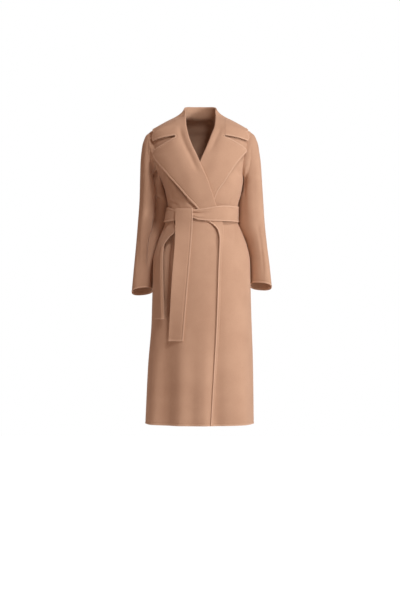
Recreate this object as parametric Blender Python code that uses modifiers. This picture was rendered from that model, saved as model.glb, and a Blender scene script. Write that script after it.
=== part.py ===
"""A long belted wrap coat as it is worn: cloth walls lofted over one hollow torso form.

Metres, +Z up. The coat faces -Y, so the wearer's left side is at +X. The origin lies between the
shoulders at the root of the neck. Heights are Z values. A turn is an angle round the torso in degrees:
0 at the front centre, 90 at the wearer's left side seam, 180 at the back centre, -90 at the right seam.
A lift is a distance out from the torso form along its normal, to the middle of a cloth wall.
"""

import bmesh
import bpy
import numpy as np

# ---------------------------------------------------------------- driving dimensions

NAME = "belted_wrap_coat"

CLOTH = 0.0020          # wall of the double-faced wool
BELT_CLOTH = 0.0025     # wall of the belt, two thinner layers sewn together
SEAM = 0.0005           # gap between two pieces at a seam
LAYER = 0.0030          # from the middle of a cloth wall to the middle of the one lying on it

HEM = -1.190            # level hem of the skirt
ARMPIT = -0.235         # lowest point of the armholes
SHOULDER = -0.064       # shoulder points, the top of the armholes
NECKLINE = -0.002       # seam of the collar stand
ARMHOLE_DEPTH = 0.066   # half the armhole's width, front to back

BODY_COLUMNS = 20       # faces across the back
FRONT_COLUMNS = 11      # faces across each front
LAPEL_COLUMNS = 6       # faces from a roll line to a lapel's edge
FOLD_ANGLES = (50.0, 90.0, 130.0)   # places round the turned roll line

WOOL = (0.545, 0.330, 0.216, 1.0)
WOOL_ROUGHNESS = 0.92


def table(header, *rows):
    """Columns by name: the header's words over one row of values for each section."""
    names = header.split()
    return {name: np.array([row[index] for row in rows]) for index, name in enumerate(names)}


# The torso form that all body pieces follow, from the hem to the top of the collar stand.
TORSO = table(
    "ring height centre_x half_width front_depth back_depth squareness",
    ("hem", -1.200, -0.002, 0.2100, 0.166, 0.174, 2.20),
    ("calf", -0.970, 0.002, 0.2030, 0.156, 0.164, 2.20),
    ("knee", -0.800, 0.006, 0.1935, 0.149, 0.157, 2.20),
    ("thigh", -0.660, 0.006, 0.1895, 0.144, 0.152, 2.20),
    ("hip", -0.560, 0.006, 0.1870, 0.138, 0.147, 2.20),
    ("seat", -0.500, 0.007, 0.1740, 0.129, 0.138, 2.20),
    ("below_belt", -0.445, 0.007, 0.1530, 0.118, 0.122, 2.20),
    ("belt_low", -0.412, 0.007, 0.1400, 0.1115, 0.110, 2.25),
    ("waist", -0.381, 0.007, 0.1370, 0.1100, 0.107, 2.30),
    ("belt_high", -0.350, 0.008, 0.1380, 0.1115, 0.110, 2.30),
    ("blouse", -0.300, 0.010, 0.1460, 0.121, 0.124, 2.35),
    ("ribs", -0.254, 0.007, 0.1560, 0.125, 0.132, 2.40),
    ("armpit", -0.220, 0.003, 0.1640, 0.126, 0.135, 2.45),
    ("chest", -0.160, 0.001, 0.1860, 0.121, 0.132, 2.50),
    ("upper_chest", -0.100, 0.001, 0.1985, 0.108, 0.120, 2.50),
    ("shoulder_point", -0.064, 0.001, 0.1975, 0.094, 0.106, 2.50),
    ("shoulder_outer", -0.050, 0.001, 0.1690, 0.086, 0.098, 2.50),
    ("shoulder_middle", -0.0255, 0.001, 0.1170, 0.070, 0.084, 2.45),
    ("shoulder_inner", -0.013, 0.001, 0.0915, 0.060, 0.074, 2.35),
    ("neckline", -0.002, 0.001, 0.0710, 0.050, 0.064, 2.20),
    ("stand_low", 0.010, 0.001, 0.0640, 0.046, 0.060, 2.10),
    ("stand_middle", 0.026, 0.001, 0.0600, 0.044, 0.058, 2.10),
    ("stand_top", 0.050, 0.001, 0.0590, 0.044, 0.058, 2.10),
)

# Soft vertical folds of the skirt, deepest at the hem: below zero a valley, above zero a ridge.
SKIRT_FOLDS = table(
    "fold turn top half_angle depth",
    ("right_front_ridge", -50.0, -0.62, 12.0, 0.0040),
    ("right_front_valley", -27.0, -0.80, 8.0, -0.0080),
    ("front_ridge", -8.0, -0.70, 9.0, 0.0040),
    ("left_front_valley", 24.0, -0.55, 8.0, -0.0060),
    ("left_front_ridge", 46.0, -0.60, 12.0, 0.0040),
    ("left_back_valley", 122.0, -0.66, 10.0, -0.0070),
    ("left_back_ridge", 148.0, -0.72, 12.0, 0.0050),
    ("back_valley", 172.0, -0.60, 9.0, -0.0070),
    ("right_back_ridge", 200.0, -0.66, 12.0, 0.0050),
    ("right_back_valley", 232.0, -0.70, 10.0, -0.0060),
)

# The right front's roll line, and below the break its front edge; the layer lies over the left front.
RIGHT_EDGE = table(
    "height x lift roll_radius",
    (-1.200, 0.0500, 0.0042, 0.0016),
    (-0.826, 0.0664, 0.0040, 0.0016),
    (-0.617, 0.0740, 0.0038, 0.0016),
    (-0.522, 0.0789, 0.0038, 0.0016),
    (-0.484, 0.0827, 0.0048, 0.0016),
    (-0.454, 0.0846, 0.0066, 0.0016),
    (-0.416, 0.0800, 0.0070, 0.0016),
    (-0.3455, 0.0561, 0.0070, 0.0016),
    (-0.254, 0.0258, 0.0070, 0.0022),
    (-0.202, 0.0019, 0.0066, 0.0024),
    (-0.162, -0.0153, 0.0050, 0.0026),
    (-0.119, -0.0357, 0.0020, 0.0028),
    (-0.075, -0.0500, 0.0, 0.0028),
    (-0.0385, -0.0564, 0.0, 0.0024),
    (-0.002, -0.0574, 0.0, 0.0020),
)

# The left front's, hidden under the right front below where the two roll lines cross.
LEFT_EDGE = table(
    "height x lift roll_radius",
    (-1.200, -0.0840, 0.0, 0.0015),
    (-0.600, -0.0800, 0.0, 0.0015),
    (-0.450, -0.0750, 0.0, 0.0015),
    (-0.370, -0.0620, 0.0, 0.0015),
    (-0.310, -0.0450, 0.0, 0.0015),
    (-0.250, -0.0220, 0.0, 0.0015),
    (-0.191, 0.0000, 0.0, 0.0015),
    (-0.162, 0.0122, 0.0, 0.0020),
    (-0.1257, 0.0295, 0.0, 0.0026),
    (-0.0825, 0.0462, 0.0, 0.0028),
    (-0.046, 0.0591, 0.0, 0.0024),
    (-0.002, 0.0620, 0.0, 0.0020),
)

# Where each height of the roll line is turned back to: up the outer edge, round the peak, along the
# notch's lower side and up the gorge seam.
RIGHT_LAPEL = table(
    "height edge_x edge_height edge_lift",
    (-0.454, 0.0680, -0.4480, 0.0102),
    (-0.416, 0.0304, -0.4117, 0.0102),
    (-0.381, 0.0040, -0.3800, 0.0102),
    (-0.3455, -0.0220, -0.3470, 0.0102),
    (-0.295, -0.0589, -0.3008, 0.0100),
    (-0.254, -0.1000, -0.2465, 0.0095),
    (-0.202, -0.1370, -0.1990, 0.0090),
    (-0.162, -0.1665, -0.1570, 0.0090),
    (-0.145, -0.1710, -0.1435, 0.0090),
    (-0.119, -0.1500, -0.1265, 0.0088),
    (-0.095, -0.1149, -0.1084, 0.0085),
    (-0.075, -0.0918, -0.0880, 0.0080),
    (-0.0385, -0.0918, -0.0510, 0.0078),
    (-0.002, -0.0918, -0.0205, 0.0078),
)
LEFT_LAPEL = table(
    "height edge_x edge_height edge_lift",
    (-0.420, -0.0200, -0.4200, 0.0030),
    (-0.380, 0.0200, -0.3750, 0.0030),
    (-0.340, 0.0518, -0.3337, 0.0032),
    (-0.300, 0.0675, -0.2975, 0.0040),
    (-0.250, 0.0940, -0.2571, 0.0060),
    (-0.191, 0.1280, -0.1950, 0.0080),
    (-0.162, 0.1480, -0.1591, 0.0090),
    (-0.145, 0.1630, -0.1380, 0.0090),
    (-0.122, 0.1500, -0.1141, 0.0088),
    (-0.100, 0.1188, -0.0995, 0.0085),
    (-0.080, 0.0938, -0.0880, 0.0080),
    (-0.0385, 0.0938, -0.0510, 0.0078),
    (-0.002, 0.0938, -0.0205, 0.0078),
)

# The collar, from its front end round to the back centre: its inner line is the gorge seam, then the
# crest over the stand; turns and heights are those of the left side, mirrored for the right. On the
# first four rows the inner line runs straight up at GORGE_X, beside the lapel's end.
GORGE_X = 0.0950
COLLAR = table(
    "place inner_turn inner_height inner_lift middle_turn middle_height middle_lift "
    "edge_turn edge_height edge_lift",
    ("front_end", 0.0, -0.0845, 0.0080, 43.0, -0.0930, 0.0088, 60.0, -0.1020, 0.0080),
    ("gorge", 0.0, -0.0500, 0.0078, 46.0, -0.0680, 0.0092, 63.0, -0.0880, 0.0080),
    ("gorge_upper", 0.0, -0.0320, 0.0078, 54.0, -0.0520, 0.0098, 60.0, -0.0700, 0.0072),
    ("gorge_top", 0.0, -0.0145, 0.0078, 68.0, -0.0360, 0.0105, 70.0, -0.0570, 0.0065),
    ("neck_front", 62.0, 0.0020, 0.0064, 80.0, -0.0220, 0.0115, 88.0, -0.0505, 0.0055),
    ("neck_side", 76.0, 0.0220, 0.0040, 88.0, -0.0120, 0.0120, 100.0, -0.0500, 0.0050),
    ("behind_neck", 100.0, 0.0350, 0.0030, 106.0, -0.0100, 0.0130, 114.0, -0.0500, 0.0050),
    ("back_quarter", 135.0, 0.0430, 0.0030, 138.0, -0.0080, 0.0120, 142.0, -0.0500, 0.0050),
    ("back_centre", 180.0, 0.0450, 0.0030, 180.0, -0.0060, 0.0110, 180.0, -0.0500, 0.0050),
)

# Each sleeve, armhole to cuff: where a ring meets the outer and the inner side of the arm, its half
# depth front to back, and how much higher its front is than its middle. The elbows hang a little back.
RIGHT_SLEEVE = table(
    "ring outer_x outer_height outer_y inner_x inner_height inner_y half_depth tilt",
    ("armhole", 0.1975, -0.064, 0.000, 0.1655, -0.235, 0.000, 0.066, 0.000),
    ("cap", 0.2085, -0.073, 0.000, 0.1670, -0.2358, 0.004, 0.068, 0.000),
    ("head", 0.2165, -0.090, 0.000, 0.1618, -0.241, 0.012, 0.069, 0.000),
    ("deltoid", 0.2225, -0.109, 0.002, 0.1560, -0.252, 0.024, 0.069, 0.000),
    ("biceps", 0.2270, -0.140, 0.004, 0.1475, -0.273, 0.038, 0.069, 0.000),
    ("upper_arm", 0.2305, -0.180, 0.008, 0.1370, -0.303, 0.050, 0.068, 0.000),
    ("mid_arm", 0.2325, -0.240, 0.016, 0.1335, -0.335, 0.058, 0.066, 0.002),
    ("above_elbow", 0.2350, -0.320, 0.026, 0.1312, -0.375, 0.062, 0.063, 0.004),
    ("elbow", 0.2415, -0.410, 0.030, 0.1385, -0.430, 0.062, 0.060, 0.006),
    ("below_elbow", 0.2485, -0.500, 0.024, 0.1648, -0.500, 0.056, 0.056, 0.009),
    ("forearm", 0.2565, -0.590, 0.012, 0.1822, -0.585, 0.048, 0.053, 0.012),
    ("cuff", 0.2645, -0.683, 0.000, 0.1862, -0.674, 0.036, 0.052, 0.014),
)
LEFT_SLEEVE = table(
    "ring outer_x outer_height outer_y inner_x inner_height inner_y half_depth tilt",
    ("armhole", 0.1995, -0.064, 0.000, 0.1695, -0.235, 0.000, 0.066, 0.000),
    ("cap", 0.2105, -0.073, 0.000, 0.1730, -0.2358, 0.004, 0.068, 0.000),
    ("head", 0.2185, -0.090, 0.000, 0.1718, -0.241, 0.012, 0.069, 0.000),
    ("deltoid", 0.2250, -0.109, 0.002, 0.1685, -0.252, 0.024, 0.069, 0.000),
    ("biceps", 0.2300, -0.140, 0.004, 0.1640, -0.273, 0.038, 0.069, 0.000),
    ("upper_arm", 0.2355, -0.180, 0.008, 0.1580, -0.300, 0.050, 0.068, 0.000),
    ("mid_arm", 0.2400, -0.240, 0.016, 0.1530, -0.330, 0.058, 0.066, 0.002),
    ("above_elbow", 0.2455, -0.320, 0.026, 0.1462, -0.370, 0.062, 0.063, 0.004),
    ("elbow", 0.2515, -0.410, 0.030, 0.1525, -0.430, 0.062, 0.060, 0.006),
    ("below_elbow", 0.2605, -0.500, 0.024, 0.1788, -0.500, 0.056, 0.056, 0.009),
    ("forearm", 0.2700, -0.580, 0.012, 0.1938, -0.575, 0.048, 0.053, 0.012),
    ("cuff", 0.2780, -0.663, 0.000, 0.1972, -0.656, 0.036, 0.052, 0.014),
)
SLEEVE_SIDES = 20       # faces round a sleeve
SLEEVE_SQUARENESS = 2.2

# The belt round the waist: it dips and narrows where the knot gathers it, right of the front centre.
BELT = table(
    "turn top bottom lift",
    (-180.0, -0.351, -0.410, 0.0032),
    (-95.0, -0.352, -0.411, 0.0032),
    (-62.0, -0.358, -0.412, 0.0090),
    (-40.0, -0.368, -0.409, 0.0138),
    (-8.0, -0.367, -0.404, 0.0138),
    (8.0, -0.356, -0.410, 0.0140),
    (34.0, -0.350, -0.412, 0.0138),
    (60.0, -0.351, -0.412, 0.0080),
    (85.0, -0.351, -0.411, 0.0032),
    (180.0, -0.351, -0.410, 0.0032),
)
BELT_COLUMNS = 56
KNOT_TURNS = (-37.0, -11.0)     # the knot's ends along the belt
KNOT_HEIGHTS = (-0.4135, -0.3640)
KNOT_LIFTS = (0.0099, 0.0180)   # its back, between coat and belt, and its front

# The two hanging ends, from the belt down: where their edges hang and how far out they lie.
LONG_END = table(
    "height left_x right_x lift",
    (-0.4152, -0.0830, -0.0260, 0.0168),
    (-0.450, -0.0850, -0.0282, 0.0135),
    (-0.500, -0.0880, -0.0315, 0.0092),
    (-0.600, -0.0960, -0.0405, 0.0072),
    (-0.869, -0.1177, -0.0626, 0.0072),
)
SHORT_END = table(
    "height left_x right_x lift",
    (-0.4140, -0.1190, -0.0930, 0.0101),
    (-0.450, -0.1290, -0.0900, 0.0107),
    (-0.480, -0.1410, -0.1080, 0.0089),
    (-0.515, -0.1560, -0.1270, 0.0064),
    (-0.560, -0.1650, -0.1300, 0.0050),
    (-0.786, -0.1690, -0.1290, 0.0046),
)


# ---------------------------------------------------------------- the torso form

def smooth(rows, name, heights, along="height"):
    """A column read at any place along another one: cubic pieces through the rows, with no overshoot."""
    place = rows[along].astype(float)
    value = rows[name].astype(float)
    span = np.diff(place)
    rise = np.diff(value) / span
    inner = rise[:-1] * rise[1:]
    mean = np.where(inner > 0.0, 2.0 * inner / np.where(inner > 0.0, rise[:-1] + rise[1:], 1.0), 0.0)
    slope = np.concatenate((rise[:1], mean, rise[-1:]))
    at = np.clip(heights, place[0], place[-1])
    piece = np.clip(np.searchsorted(place, at, side="right") - 1, 0, len(span) - 1)
    step = (at - place[piece]) / span[piece]
    start = (2.0 * step**3 - 3.0 * step**2 + 1.0) * value[piece]
    end = (3.0 * step**2 - 2.0 * step**3) * value[piece + 1]
    start_slope = (step**3 - 2.0 * step**2 + step) * span[piece] * slope[piece]
    end_slope = (step**3 - step**2) * span[piece] * slope[piece + 1]
    return start + end + start_slope + end_slope


def ease(value, low, high):
    """0 below low, 1 above high, and a smooth step between."""
    step = np.clip((value - low) / (high - low), 0.0, 1.0)
    return step * step * (3.0 - 2.0 * step)


def fold_lift(height, turn):
    """How far the skirt's soft folds stand out at a place on the torso."""
    total = np.zeros(np.broadcast(height, turn).shape)
    for index in range(len(SKIRT_FOLDS["fold"])):
        fold = {name: values[index] for name, values in SKIRT_FOLDS.items()}
        away = (turn - fold["turn"] + 180.0) % 360.0 - 180.0
        across = np.exp(-(away / fold["half_angle"]) ** 2)
        total = total + fold["depth"] * across * ease(-height, -fold["top"], -HEM)
    return total


def torso_level(x, y, height):
    """The torso form as a level: 1 on its surface, less inside and more outside."""
    half_width = smooth(TORSO, "half_width", height)
    front = smooth(TORSO, "front_depth", height)
    back = smooth(TORSO, "back_depth", height)
    power = smooth(TORSO, "squareness", height)
    across = np.abs(x - smooth(TORSO, "centre_x", height)) / half_width
    deep = np.abs(y) / np.where(y < 0.0, front, back)
    return across**power + deep**power


def torso_point(height, turn, lift=0.0):
    """A point of the torso form, moved out along its normal by the lift and the skirt's folds."""
    height, turn, lift = np.broadcast_arrays(height, turn, lift)
    sine = np.sin(np.radians(turn))
    cosine = np.cos(np.radians(turn))
    power = 2.0 / smooth(TORSO, "squareness", height)
    depth = np.where(cosine > 0.0, smooth(TORSO, "front_depth", height), smooth(TORSO, "back_depth", height))
    reach = smooth(TORSO, "half_width", height) * np.abs(sine) ** power
    x = smooth(TORSO, "centre_x", height) + np.sign(sine) * reach
    y = -np.sign(cosine) * depth * np.abs(cosine) ** power
    step = 0.0005
    normal = np.stack((
        torso_level(x + step, y, height) - torso_level(x - step, y, height),
        torso_level(x, y + step, height) - torso_level(x, y - step, height),
        torso_level(x, y, height + step) - torso_level(x, y, height - step)), axis=-1)
    normal /= np.linalg.norm(normal, axis=-1, keepdims=True)
    out = lift + fold_lift(height, turn)
    return np.stack((x, y, height), axis=-1) + normal * out[..., None]


def turn_at_x(height, x):
    """The turn on the torso's front at a distance x from the middle plane."""
    power = smooth(TORSO, "squareness", height) / 2.0
    share = (x - smooth(TORSO, "centre_x", height)) / smooth(TORSO, "half_width", height)
    share = np.clip(share, -1.0, 1.0)
    return np.degrees(np.arcsin(np.sign(share) * np.abs(share) ** power))


def side_turn(height, front):
    """The turn of a panel's side boundary: the side seam, the armhole's edge or the shoulder seam."""
    middle = (SHOULDER + ARMPIT) / 2.0
    half = (SHOULDER - ARMPIT) / 2.0
    round_hole = np.sqrt(np.clip(1.0 - ((height - middle) / half) ** 2, 0.0, 1.0))
    away = np.maximum(ARMHOLE_DEPTH * round_hole, SEAM / 2.0)
    depth = smooth(TORSO, "front_depth" if front else "back_depth", height)
    power = smooth(TORSO, "squareness", height) / 2.0
    turn = np.degrees(np.arccos((away / depth) ** power))
    return turn if front else 180.0 - turn


def armhole_heights():
    """Heights round half an armhole, from the armpit up, evenly spaced round it."""
    middle = (SHOULDER + ARMPIT) / 2.0
    half = (SHOULDER - ARMPIT) / 2.0
    return middle - half * np.cos(np.linspace(0.0, np.pi, SLEEVE_SIDES // 2 + 1))


def body_heights():
    """The rows that the back and both fronts share, hem to neckline."""
    skirt = np.linspace(HEM, -0.500, 11)
    waist = (-0.470, -0.445, -0.4125, -0.381, -0.350, -0.325, -0.295, -0.264)
    shoulder = np.linspace(SHOULDER, NECKLINE, 6)[1:]
    return np.concatenate((skirt, waist, armhole_heights(), shoulder))


# ---------------------------------------------------------------- cloth walls

def make_collection():
    """The collection that holds the coat's pieces."""
    collection = bpy.data.collections.new(NAME)
    bpy.context.scene.collection.children.link(collection)
    return collection


def make_wool():
    """The camel wool of every piece."""
    material = bpy.data.materials.new("camel_wool")
    material.use_nodes = True
    surface = material.node_tree.nodes["Principled BSDF"]
    surface.inputs["Base Color"].default_value = WOOL
    surface.inputs["Roughness"].default_value = WOOL_ROUGHNESS
    surface.inputs["Metallic"].default_value = 0.0
    return material


def cloth_wall(name, grids, thickness, closed=False):
    """A sheet through grids of points, thickened evenly to both sides.

    Each grid is rows by columns of points; grids that share points along an edge become one sheet.
    A closed grid's last column joins its first.
    """
    shape = bmesh.new()
    for grid in grids:
        rows, columns = grid.shape[:2]
        points = [[shape.verts.new(point) for point in row] for row in grid]
        for row in range(rows - 1):
            for column in range(columns if closed else columns - 1):
                after = (column + 1) % columns
                shape.faces.new((points[row][column], points[row][after],
                                 points[row + 1][after], points[row + 1][column]))
    bmesh.ops.remove_doubles(shape, verts=shape.verts, dist=1e-6)
    bmesh.ops.recalc_face_normals(shape, faces=shape.faces)
    mesh = bpy.data.meshes.new(name)
    shape.to_mesh(mesh)
    shape.free()
    mesh.shade_smooth()
    mesh.materials.append(WOOL_MATERIAL)
    piece = bpy.data.objects.new(name, mesh)
    COLLECTION.objects.link(piece)
    wall = piece.modifiers.new("cloth", "SOLIDIFY")
    wall.thickness = thickness
    wall.offset = 0.0
    return piece


# ---------------------------------------------------------------- back, fronts and lapels

def make_back():
    """The back, from side seam to side seam, with its halves of the armholes and shoulder seams."""
    heights = body_heights()[:, None]
    edge = side_turn(heights, front=False)
    share = np.linspace(0.0, 1.0, BODY_COLUMNS + 1)[None, :]
    turn = edge + (360.0 - 2.0 * edge) * share
    return cloth_wall("back", [torso_point(heights, turn)], CLOTH)


def front_lift(edge, heights, x):
    """How far a front lies out: its table's lift near its edge, none at its side."""
    over = ease(x, -0.140, -0.097)
    return smooth(edge, "lift", heights) * over


def front_panel(edge, heights, side):
    """A front from its roll line or front edge to its side boundary; side is 1 left, -1 right."""
    roll_turn = turn_at_x(heights, smooth(edge, "x", heights))
    outer_turn = side * side_turn(heights, front=True)
    share = np.linspace(0.0, 1.0, FRONT_COLUMNS + 1)[None, :]
    turn = roll_turn + (outer_turn - roll_turn) * share
    x = torso_point(heights, turn)[..., 0]
    return torso_point(heights, turn, front_lift(edge, heights, x))


def turned_lapel(edge, lapel, heights, side):
    """The roll line's turned cloth and the lapel it carries, on the rows above the break."""
    radius = smooth(edge, "roll_radius", heights)
    roll_x = smooth(edge, "x", heights)
    roll_lift = front_lift(edge, heights, roll_x)
    columns = [torso_point(heights, turn_at_x(heights, roll_x), roll_lift)]
    for angle in np.radians(FOLD_ANGLES):
        x = roll_x - side * radius * np.sin(angle)
        lift = roll_lift + radius * (1.0 - np.cos(angle))
        columns.append(torso_point(heights, turn_at_x(heights, x), lift))
    edge_x = smooth(lapel, "edge_x", heights)
    edge_height = smooth(lapel, "edge_height", heights)
    edge_lift = smooth(lapel, "edge_lift", heights)
    for share in np.linspace(0.0, 1.0, LAPEL_COLUMNS + 1):
        height = heights + (edge_height - heights) * share
        x = roll_x + (edge_x - roll_x) * share
        lift = roll_lift + 2.0 * radius
        lift = lift + (edge_lift - lift) * share**2
        under = front_lift(edge, height, x) + LAYER
        columns.append(torso_point(height, turn_at_x(height, x), np.maximum(lift, under)))
    return np.concatenate(columns, axis=1)


def make_front(name, edge, lapel, side):
    """A front and its lapel, cut in one and turned back at the roll line."""
    heights = body_heights()[:, None]
    panel = front_panel(edge, heights, side)
    above_break = heights[heights[:, 0] > lapel["height"][0] - 0.001]
    return cloth_wall(name, [panel, turned_lapel(edge, lapel, above_break, side)], CLOTH)


# ---------------------------------------------------------------- collar

def make_collar():
    """The collar: its fall from one front end round the back to the other, and its stand."""
    stations = np.linspace(0.0, 8.0, 25)
    stations = np.concatenate((stations, stations[-2::-1]))
    mirror = np.concatenate((np.ones(25), -np.ones(24)))
    rows = dict(COLLAR, station=np.arange(9.0))

    gorge = rows["station"] < 3.5
    seam_turn = turn_at_x(rows["inner_height"], GORGE_X)
    rows["inner_turn"] = np.where(gorge, seam_turn, rows["inner_turn"])

    def line(part):
        turn = smooth(rows, part + "_turn", stations, "station")
        height = smooth(rows, part + "_height", stations, "station")
        lift = smooth(rows, part + "_lift", stations, "station")
        if part == "inner":
            turn = np.where(stations < 3.0, turn_at_x(height, GORGE_X), turn)
        return torso_point(height, mirror * turn, lift)

    inner = line("inner")
    middle = line("middle")
    edge = line("edge")
    columns = []
    for share in np.linspace(0.0, 1.0, 8):
        near = (1.0 - share) * (1.0 - 2.0 * share)
        far = share * (2.0 * share - 1.0)
        columns.append(near * inner + 4.0 * share * (1.0 - share) * middle + far * edge)
    fall = np.stack(columns, axis=1)

    stand_rows = np.flatnonzero(smooth(rows, "inner_height", stations, "station") > 0.012)
    stand_turn = (mirror * smooth(rows, "inner_turn", stations, "station"))[stand_rows]
    crest = smooth(rows, "inner_height", stations, "station")[stand_rows]
    low = NECKLINE + 2.0 * SEAM
    columns = [torso_point(low + (crest - low) * share, stand_turn, 0.0) for share in (0.0, 0.33, 0.66, 0.93)]
    columns.append(inner[stand_rows])
    return cloth_wall("collar", [fall, np.stack(columns, axis=1)], CLOTH)


# ---------------------------------------------------------------- sleeves

def sleeve_rings(sleeve, side):
    """Rings down a sleeve: the armhole's own edge first, then rings that turn from upright to level."""
    angle = np.linspace(0.0, 2.0 * np.pi, SLEEVE_SIDES, endpoint=False)
    power = 2.0 / SLEEVE_SQUARENESS
    along = np.sign(np.cos(angle)) * np.abs(np.cos(angle)) ** power
    deep = np.sign(np.sin(angle)) * np.abs(np.sin(angle)) ** power
    rings = []
    for index in range(len(sleeve["ring"])):
        ring = {name: values[index] for name, values in sleeve.items()}
        share = (1.0 + along) / 2.0
        x = ring["inner_x"] + (ring["outer_x"] - ring["inner_x"]) * share
        height = ring["inner_height"] + (ring["outer_height"] - ring["inner_height"]) * share
        y = ring["inner_y"] + (ring["outer_y"] - ring["inner_y"]) * share - ring["half_depth"] * deep
        rings.append(np.stack((side * x, y, height + ring["tilt"] * deep), axis=-1))
    rings = np.array(rings)
    edge = armhole_ring(angle, side)
    fade = np.array((1.0, 0.72, 0.42, 0.2, 0.07) + (0.0,) * (len(rings) - 5))
    return rings + fade[:, None, None] * (edge - rings[0])


def armhole_ring(angle, side):
    """The sleeve's first ring, just inside the armhole's edge on the torso form."""
    middle = (SHOULDER + ARMPIT) / 2.0
    half = (SHOULDER - ARMPIT) / 2.0
    inset = SEAM + CLOTH / 2.0 * (0.75 - 0.25 * np.cos(angle)) + 0.0003
    height = middle + (half - inset) * np.cos(angle)
    away = np.abs((ARMHOLE_DEPTH - inset) * np.sin(angle))
    front = np.sin(angle) >= 0.0
    depth = np.where(front, smooth(TORSO, "front_depth", height), smooth(TORSO, "back_depth", height))
    power = smooth(TORSO, "squareness", height) / 2.0
    turn = np.degrees(np.arccos((away / depth) ** power))
    return torso_point(height, side * np.where(front, turn, 180.0 - turn), 0.0004)


def make_sleeve(name, sleeve, side):
    """A sleeve, open at the armhole and at the cuff."""
    return cloth_wall(name, [sleeve_rings(sleeve, side)], CLOTH, closed=True)


# ---------------------------------------------------------------- belt

def make_belt_band():
    """The belt round the waist, drawn together at the knot."""
    turn = np.linspace(-180.0, 180.0, BELT_COLUMNS, endpoint=False)
    top = smooth(BELT, "top", turn, "turn")
    bottom = smooth(BELT, "bottom", turn, "turn")
    lift = smooth(BELT, "lift", turn, "turn")
    rows = [torso_point(bottom + (top - bottom) * share, turn, lift) for share in (0.0, 0.5, 1.0)]
    return cloth_wall("belt_band", [np.array(rows)], BELT_CLOTH, closed=True)


def make_belt_knot():
    """The turn of the belt that wraps the band: a flat tube along it, open at both ends."""
    around = np.radians(np.arange(0.0, 360.0, 30.0))
    middle_height = sum(KNOT_HEIGHTS) / 2.0
    middle_lift = sum(KNOT_LIFTS) / 2.0
    half_height = (KNOT_HEIGHTS[1] - KNOT_HEIGHTS[0]) / 2.0
    half_lift = (KNOT_LIFTS[1] - KNOT_LIFTS[0]) / 2.0
    height = middle_height + half_height * np.sign(np.sin(around)) * np.abs(np.sin(around)) ** 0.5
    lift = middle_lift + half_lift * np.sign(np.cos(around)) * np.abs(np.cos(around)) ** 0.5
    turns = np.linspace(*KNOT_TURNS, 6)[:, None]
    return cloth_wall("belt_knot", [torso_point(height[None, :], turns, lift[None, :])], BELT_CLOTH, closed=True)


def make_belt_end(name, end, rows):
    """A hanging end of the belt, a flat strip that lies against the skirt."""
    heights = np.linspace(end["height"][0], end["height"][-1], rows)[:, None]
    ordered = {column: values[::-1] for column, values in end.items()}
    left = smooth(ordered, "left_x", heights)
    right = smooth(ordered, "right_x", heights)
    x = left + (right - left) * np.linspace(0.0, 1.0, 4)[None, :]
    lift = smooth(ordered, "lift", heights)
    return cloth_wall(name, [torso_point(heights, turn_at_x(heights, x), lift)], BELT_CLOTH)


# ---------------------------------------------------------------- the coat

for old in list(bpy.data.objects):
    bpy.data.objects.remove(old, do_unlink=True)
COLLECTION = make_collection()
WOOL_MATERIAL = make_wool()

make_back()
make_front("right_front", RIGHT_EDGE, RIGHT_LAPEL, -1.0)
make_front("left_front", LEFT_EDGE, LEFT_LAPEL, 1.0)
make_collar()
make_sleeve("right_sleeve", RIGHT_SLEEVE, -1.0)
make_sleeve("left_sleeve", LEFT_SLEEVE, 1.0)
make_belt_band()
make_belt_knot()
make_belt_end("belt_long_end", LONG_END, 14)
make_belt_end("belt_short_end", SHORT_END, 12)
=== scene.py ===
"""A belted wrap coat in camel double-faced wool, as it is worn. Metres, +Z up, the coat faces -Y."""

import bmesh
import bpy
import numpy as np
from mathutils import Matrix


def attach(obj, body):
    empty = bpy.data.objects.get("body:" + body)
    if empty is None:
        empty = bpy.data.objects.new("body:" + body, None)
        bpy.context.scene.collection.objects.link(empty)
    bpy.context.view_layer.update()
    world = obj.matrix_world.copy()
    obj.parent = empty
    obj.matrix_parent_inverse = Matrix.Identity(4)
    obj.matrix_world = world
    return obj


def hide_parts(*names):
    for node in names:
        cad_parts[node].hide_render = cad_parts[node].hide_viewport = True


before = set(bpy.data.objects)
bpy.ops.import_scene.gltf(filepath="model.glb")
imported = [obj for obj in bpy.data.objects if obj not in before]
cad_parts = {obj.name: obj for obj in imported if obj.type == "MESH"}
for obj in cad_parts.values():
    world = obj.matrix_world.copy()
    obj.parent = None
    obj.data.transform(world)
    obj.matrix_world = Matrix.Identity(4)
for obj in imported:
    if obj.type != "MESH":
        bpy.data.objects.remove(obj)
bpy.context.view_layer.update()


# ======================================================================== back
# The back is one piece of double-faced wool, 2.4 mm thick, cut from side seam to side seam and sewn to
# the fronts down the sides and along the shoulders. Its hem is turned in and closed by hand.

HEM = -1.190            # heights over the origin, which lies at the root of the neck
ARMPIT = -0.235
SHOULDER = -0.064
NECKLINE = -0.002
ARMHOLE_MIDDLE = (SHOULDER + ARMPIT) / 2.0
ARMHOLE_HALF = (SHOULDER - ARMPIT) / 2.0
ARMHOLE_DEPTH = 0.066   # from the very side to the armhole's front or back
CLOTH = 0.0024
SEAM = 0.0002           # between two pieces that are sewn together


def table(header, *rows):
    """Columns by name: the header's words over one row of values for each section."""
    names = header.split()
    return {name: np.array([row[index] for row in rows]) for index, name in enumerate(names)}


def each_row(columns):
    """A table's rows one after the other, each with its values by name."""
    for values in zip(*columns.values()):
        yield dict(zip(columns, values))


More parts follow.
